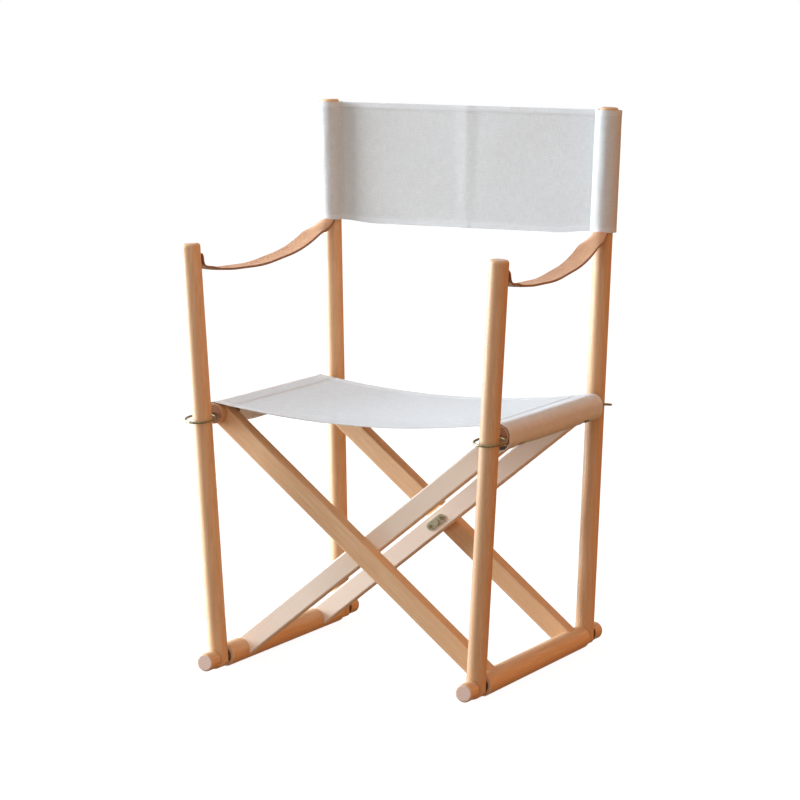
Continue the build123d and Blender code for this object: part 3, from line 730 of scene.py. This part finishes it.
# ---- leather straps -----------------------------------------------------------------------
STRAP_WIDTH = 35 * MM
STRAP_THICKNESS = 3.5 * MM
SCREW_HEIGHT = {FRONT: 645.6 * MM, REAR: 689 * MM}
FRONT_CUP = 24 * MM                         # radius of the strap's hollow against the front post
REAR_CUP = 17.5 * MM                        # the rear end wraps about its post
STRAP_SLACK = 0.8 * MM                      # the middle of the width sags between the edges
STRAP_EDGE = 1.1 * MM                       # rounding of the cut edges
STRAP_STEP = 3.5 * MM
STRAP_FACE = POST_RADIUS + STRAP_THICKNESS / 2      # middle of the strap where it lies against a post
# the strap's corners: distance from the front place against the post, and height above the floor
STRAP_FRONT_CORNERS = ((0, 0.6515), (0, 0.6345), (0.036, 0.6245), (0.080, 0.6205), (0.175, 0.6185),
                       (0.298, 0.633))
STRAP_REAR_HEIGHTS = (0.674, 0.692)         # where it meets the rear post, and its end
STRAP_BENDS = (0.010, 0.1, 0.4, 0.4, 0.35, 0.006)   # radius of each inner corner
# distances from an end: the hollow is whole up to the first and gone from the second
FRONT_HOLLOW = (6 * MM, 40 * MM)
REAR_HOLLOW = (16 * MM, 75 * MM)
REAR_TAPER = (8 * MM, 60 * MM)              # the rear end is narrow up to the first, full from the second
TONGUE_LENGTH = 10 * MM                     # rounded tongue at the front end
TONGUE_TIP = 0.42                           # its width at the very end, as a share


def fillet_path(corners, radii, step):
    """Points about step apart along straight runs joined by tangent arcs, in a plane."""
    points = [Vector(corners[0])]
    for before, corner, after, radius in zip(corners, corners[1:], corners[2:], radii):
        corner = Vector(corner)
        back = (Vector(before) - corner).normalized()
        ahead = (Vector(after) - corner).normalized()
        half = acos(max(-1.0, min(1.0, back.dot(ahead)))) / 2
        centre = corner + (back + ahead).normalized() * radius / sin(half)
        start = corner + back * radius / tan(half)
        stop = corner + ahead * radius / tan(half)
        points.append(start)
        turn = pi - 2 * half
        first = start - centre
        sign = 1 if first.x * (stop - centre).y - first.y * (stop - centre).x > 0 else -1
        for share in span(0, 1, step / (radius * turn))[1:]:
            angle = sign * turn * share
            points.append(centre + Vector((first.x * cos(angle) - first.y * sin(angle),
                                           first.x * sin(angle) + first.y * cos(angle))))
    points.append(Vector(corners[-1]))
    filled = [points[0]]
    for one, two in zip(points, points[1:]):
        for share in span(0, 1, step / max(step, (two - one).length))[1:]:
            filled.append(one.lerp(two, share))
    return filled


def strap_section():
    """Outline of the strap's cross-section as (across, up) points, with rounded edges."""
    wide, thick = STRAP_WIDTH / 2, STRAP_THICKNESS / 2
    corner = [(wide - STRAP_EDGE, thick), (wide - 0.3 * MM, thick - 0.4 * MM), (wide, thick - STRAP_EDGE)]
    upper = [(-across, up) for across, up in reversed(corner)]
    upper += [(across, thick) for across in span(-wide + 4 * MM, wide - 4 * MM, 4.5 * MM)]
    upper += corner
    return upper + [(-across, -up) for across, up in upper]


def strap_shape(from_end, near_front):
    """How far the strap is hollowed (0 to 1) and its width as a share, near its ends."""
    if near_front:
        cup = 1 - smooth_step(from_end, *FRONT_HOLLOW)
        share = min(1.0, (from_end + 1.2 * MM) / TONGUE_LENGTH)
        tongue = sqrt(max(0.0, 1 - (1 - share) ** 2))
        return cup, (TONGUE_TIP + (1 - TONGUE_TIP) * tongue) * (1 - 0.12 * cup)
    cup = 1 - smooth_step(from_end, *REAR_HOLLOW)
    return cup, 1 - 0.30 * (1 - smooth_step(from_end, *REAR_TAPER))


def make_strap(side_name, side, top, under, edge):
    """Arm strap: its section is drawn along its path and hollowed at both ends against the posts."""
    front = post_point(side, FRONT, SCREW_HEIGHT[FRONT])
    rear = post_point(side, REAR, SCREW_HEIGHT[REAR])
    run = Vector((rear.x - front.x, rear.y - front.y, 0))
    length = run.length
    run.normalize()
    sideways = Vector((0, 0, 1)).cross(run) * side
    corners = [(STRAP_FACE + ahead, height) for ahead, height in STRAP_FRONT_CORNERS]
    corners += [(length - STRAP_FACE, height) for height in STRAP_REAR_HEIGHTS]
    path = fillet_path(corners, STRAP_BENDS, STRAP_STEP)
    along = run_lengths(path)
    section = strap_section()
    half_width, half_thick = STRAP_WIDTH / 2, STRAP_THICKNESS / 2
    build = bmesh.new()
    layer = build.loops.layers.uv.new("strap")
    rings = []
    for index, point in enumerate(path):
        before, after = path[max(0, index - 1)], path[min(len(path) - 1, index + 1)]
        tangent = (after - before).normalized()
        normal = Vector((-tangent.y, tangent.x))        # in the plane of the path: up on the level stretch
        from_end = min(along[index], along[-1] - along[index])
        near_front = along[index] < along[-1] / 2
        cup_radius = FRONT_CUP if near_front else REAR_CUP
        cup, narrow = strap_shape(from_end, near_front)
        ring = []
        for across, up in section:
            w = across * narrow
            bend = cup * (cup_radius - sqrt(cup_radius ** 2 - w ** 2))
            rise = up - bend - STRAP_SLACK * (1 - cup) * (1 - (across / half_width) ** 2)
            place = front + run * (point.x + normal.x * rise) + sideways * w
            place.z = point.y + normal.y * rise
            ring.append(build.verts.new(place))
        rings.append(ring)
    count = len(section)
    for i in range(len(rings) - 1):
        for j in range(count):
            k = (j + 1) % count
            face_made = build.faces.new((rings[i][j], rings[i][k], rings[i + 1][k], rings[i + 1][j]))
            face_made.smooth = True
            both = (section[j][1], section[k][1])
            if both == (half_thick, half_thick):
                face_made.material_index = 0
            elif both == (-half_thick, -half_thick):
                face_made.material_index = 1
            # the cut edges and end caps take the third, very dark material: painted shade
            else:
                face_made.material_index = 2
            for loop, (a, b) in zip(face_made.loops, ((i, j), (i, k), (i + 1, k), (i + 1, j))):
                loop[layer].uv = (along[a], section[b][0])
    for ring in (rings[0][::-1], rings[-1]):
        cap = build.faces.new(ring)
        cap.material_index = 2
    bmesh.ops.recalc_face_normals(build, faces=build.faces)
    mesh = bpy.data.meshes.new(f"arm_strap_{side_name}")
    build.to_mesh(mesh)
    build.free()
    strap = new_object(f"arm_strap_{side_name}", mesh, top, under, edge)
    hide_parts(f"{side_name}_arm_strap")
    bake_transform(strap)
    return strap


# ---- finish of the carried-over parts -----------------------------------------------------
def paint(node, material):
    """Give a carried-over part its only material."""
    mesh = NODES[node].data
    mesh.materials.clear()
    mesh.materials.append(material)


# each post's own tone; the right-hand posts are made darker and more orange as painted warm shade, for the
# warm light from the right
POST_TONE_AND_SHADE = {"front_left": 0.88, "front_right": 0.78, "rear_left": 0.90, "rear_right": 0.84}


def paint_parts():
    """Wood with its grain along each part, and metal for the fittings."""
    brass = metal("brass", (0.36, 0.315, 0.165), (0.20, 0.17, 0.085), 0.38)
    plate = metal("brass_plate", (0.56, 0.52, 0.36), (0.40, 0.36, 0.23), 0.42)
    steel = metal("steel", (0.52, 0.52, 0.50), (0.36, 0.35, 0.33), 0.36)
    slope = radians(LEG_SLOPE)
    outer_along = (cos(slope), 0, -sin(slope))
    inner_along = (cos(slope), 0, sin(slope))
    for side_name in SIDES:
        paint(f"{side_name}_bottom_rail", beech(f"beech_{side_name}_bottom_rail", (0, 1, 0), 0.88))
        # the top rails' ends get the very dark end grain: painted shade under the seat's sleeves
        paint(f"{side_name}_top_rail",
              beech(f"beech_{side_name}_top_rail", (0, 1, 0), 0.80, end_grain=END_GRAIN_SHADED))
        paint(f"{side_name}_foot_washers", brass)
        for end_name in ENDS:
            corner = f"{end_name}_{side_name}"
            paint(f"{corner}_post", beech(f"beech_{corner}_post", (0, 0, 1), POST_TONE_AND_SHADE[corner]))
            paint(f"{corner}_cap",
                  beech(f"beech_{corner}_cap", (0, 1, 0), 0.86, end_grain=END_GRAIN_PALE))
            for part in ("ring", "eye_screw", "strap_screw"):
                paint(f"{corner}_{part}", brass)
        paint(f"front_{side_name}_strap_washer", brass)
    for end_name in ENDS:
        paint(f"outer_{end_name}_leg", beech(f"beech_outer_{end_name}_leg", outer_along, 0.93))
        paint(f"inner_{end_name}_leg", beech(f"beech_inner_{end_name}_leg", inner_along, 1.0, 0.85))
        paint(f"{end_name}_pivot_plate", plate)
        paint(f"{end_name}_pivot_pin", plate)
    paint("pivot_plate_screws", brass)
    paint("pivot_washers", steel)


# ---- floor, light and camera --------------------------------------------------------------
LIGHT_TARGET = Vector((0, 0, 0.45))
# a disk light's place, its size, power and colour
KEY_LIGHT = ((-3.2, -0.36, 1.0), 2.2, 310, (0.92, 0.98, 1.10))
FRONT_FILL = ((0.4, -3.6, 1.4), 2.4, 16, (1.0, 0.98, 0.96))


def make_light(name, place, size, power, colour):
    """Disk light that shines at the middle of the chair."""
    lamp = bpy.data.lights.new(name, "AREA")
    lamp.shape = "DISK"
    lamp.size = size
    lamp.energy = power
    lamp.color = colour
    made = bpy.data.objects.new(name, lamp)
    bpy.context.scene.collection.objects.link(made)
    made.location = place
    made.rotation_mode = "QUATERNION"
    made.rotation_quaternion = (LIGHT_TARGET - made.location).to_track_quat("-Z", "Y")


FLOOR_HALF = 14.0
FLOOR_GLOW = 0.94
FLOOR_GAP = 0.2 * MM                        # the floor lies just below the feet
DOME_RADIUS = 40.0


def make_stage():
    """Pale floor and a white backdrop dome, seen by the camera but not lighting the chair."""
    build = bmesh.new()
    bmesh.ops.create_grid(build, x_segments=2, y_segments=2, size=FLOOR_HALF)
    mesh = bpy.data.meshes.new("floor")
    build.to_mesh(mesh)
    build.free()
    pale = Shader("pale_floor")
    pale.set(Base_Color=(0.16, 0.16, 0.16, 1), Roughness=0.9, Specular_IOR_Level=0.0,
             Emission_Color=(1, 1, 1, 1), Emission_Strength=FLOOR_GLOW)
    floor = new_object("floor", mesh, pale.material)
    floor.location.z = -FLOOR_GAP
    build = bmesh.new()
    bmesh.ops.create_uvsphere(build, u_segments=48, v_segments=24, radius=DOME_RADIUS)
    mesh = bpy.data.meshes.new("backdrop")
    build.to_mesh(mesh)
    build.free()
    white = Shader("white_backdrop")
    white.set(Base_Color=(0, 0, 0, 1), Specular_IOR_Level=0.0,
              Emission_Color=(1, 1, 1, 1), Emission_Strength=1.0)
    dome = new_object("backdrop", mesh, white.material)
    for obj in (floor, dome):
        obj.visible_diffuse = False
        obj.visible_glossy = False
        obj.visible_transmission = False
        obj.visible_shadow = False


# colours of the surroundings, which light the chair and show in its metal
SKY_TOP = (0.90, 0.95, 1.02)
SKY_LEFT = (0.50, 0.50, 0.51)
SKY_RIGHT = (1.12, 0.44, 0.11)
SKY_RIGHT_HIGH = (0.42, 0.20, 0.10)
SKY_LOW = (0.15, 0.10, 0.07)
WINDOW_TILT = 0.34                          # the bright part overhead leans to the camera's left
WINDOW_RISE = 0.94
CAMERA_AZIMUTH = 26.542
CAMERA_ELEVATION = 8.353
CAMERA_ROLL = 0.15
CAMERA_DISTANCE = 5.0928
CAMERA_TARGET = Vector((-9.0 * MM, 0, 412.6 * MM))
CAMERA_LENS = 145.2                         # in millimetres
CAMERA_REACH = 200


def make_world():
    """Soft studio surroundings: bright and cool above, neutral to the left, warm to the right, dim below."""
    world = bpy.data.worlds.new("studio")
    bpy.context.scene.world = world
    world.use_nodes = True
    nodes, links = world.node_tree.nodes, world.node_tree.links
    coords = nodes.new("ShaderNodeTexCoord")
    across = nodes.new("ShaderNodeVectorMath")
    across.operation = "DOT_PRODUCT"
    azimuth = radians(CAMERA_AZIMUTH)
    across.inputs[1].default_value = (cos(azimuth), sin(azimuth), 0)
    links.new(coords.outputs["Generated"], across.inputs[0])
    window = nodes.new("ShaderNodeVectorMath")
    window.operation = "DOT_PRODUCT"
    window.inputs[1].default_value = (-WINDOW_TILT * cos(azimuth), -WINDOW_TILT * sin(azimuth), WINDOW_RISE)
    links.new(coords.outputs["Generated"], window.inputs[0])
    parts = nodes.new("ShaderNodeSeparateXYZ")
    links.new(coords.outputs["Generated"], parts.inputs[0])

    def mixed(value, low, high, one, two):
        """One colour where value is below low, the other where it is above high, and a mix between."""
        reach = nodes.new("ShaderNodeMapRange")
        reach.interpolation_type = "SMOOTHSTEP"
        reach.inputs["From Min"].default_value = low
        reach.inputs["From Max"].default_value = high
        links.new(value, reach.inputs["Value"])
        blend = nodes.new("ShaderNodeMix")
        blend.data_type = "RGBA"
        sockets = [s for s in blend.inputs if s.enabled]
        links.new(reach.outputs["Result"], sockets[0])
        for socket, colour in ((sockets[1], one), (sockets[2], two)):
            if isinstance(colour, tuple):
                socket.default_value = (*colour, 1)
            else:
                links.new(colour, socket)
        return next(s for s in blend.outputs if s.enabled)

    right = mixed(parts.outputs["Z"], 0.10, 0.60, SKY_RIGHT, SKY_RIGHT_HIGH)
    level = mixed(across.outputs["Value"], -0.15, 0.75, SKY_LEFT, right)
    upper = mixed(window.outputs["Value"], 0.55, 0.95, level, SKY_TOP)
    whole = mixed(parts.outputs["Z"], -0.05, -0.45, upper, SKY_LOW)
    links.new(whole, nodes["Background"].inputs["Color"])


def make_camera():
    """Camera at the front right of the chair, looking slightly down."""
    azimuth, elevation = radians(CAMERA_AZIMUTH), radians(CAMERA_ELEVATION)
    back = Vector((sin(azimuth) * cos(elevation), -cos(azimuth) * cos(elevation), sin(elevation)))
    data = bpy.data.cameras.new("camera")
    data.lens = CAMERA_LENS
    data.clip_end = CAMERA_REACH
    camera = bpy.data.objects.new("camera", data)
    bpy.context.scene.collection.objects.link(camera)
    camera.location = CAMERA_TARGET + back * CAMERA_DISTANCE
    camera.rotation_mode = "QUATERNION"
    turn = (-back).to_track_quat("-Z", "Y")
    camera.rotation_quaternion = turn @ Matrix.Rotation(radians(CAMERA_ROLL), 3, "Z").to_quaternion()
    bpy.context.scene.camera = camera


# ---- build --------------------------------------------------------------------------------
make_camera()
make_world()
make_stage()
make_light("key", *KEY_LIGHT)
make_light("front_fill", *FRONT_FILL)
bpy.context.scene.view_settings.view_transform = "Standard"

paint_parts()
seat_canvas = canvas("seat_canvas", 0.0, SLEEVE_HALF, HEM, SEAT_TINT)
# the sleeves' canvas is a warmer copy of the seat's canvas: painted warm light
sleeve_canvas_warm_lit = canvas("sleeve_canvas_warm_lit", 0.0, SLEEVE_HALF, SLEEVE_HEM, SLEEVE_WARM_LIGHT_TINT)
back_canvas = canvas("back_canvas", (BACK_LOW + BACK_HIGH) / 2, (BACK_HIGH - BACK_LOW) / 2, BACK_HEM,
                     BACK_TINT)
white_thread = thread("thread")
tan_top = leather("leather_top", (0.70, 0.40, 0.22), (0.60, 0.31, 0.16))
tan_under = leather("leather_under", (0.52, 0.30, 0.17), (0.40, 0.22, 0.12), 0.75)
# painted shade: the strap's cut edges and end caps are given a very dark brown, for the shade that lies on
# them
tan_edge_shaded = leather("leather_edge_shaded", (0.26, 0.11, 0.05), (0.17, 0.07, 0.03), 0.42)
for side_name, side in SIDES.items():
    leg_y = OUTER_LEG_Y if side == LEFT else INNER_LEG_Y
    make_seat_half(side_name, side, seat_canvas, white_thread)
    make_seat_sleeve(side_name, side, leg_y, sleeve_canvas_warm_lit, white_thread)
    make_back_sleeve(side_name, side, back_canvas)
    make_back_half(side_name, side, back_canvas, white_thread)
    make_strap(side_name, side, tan_top, tan_under, tan_edge_shaded)
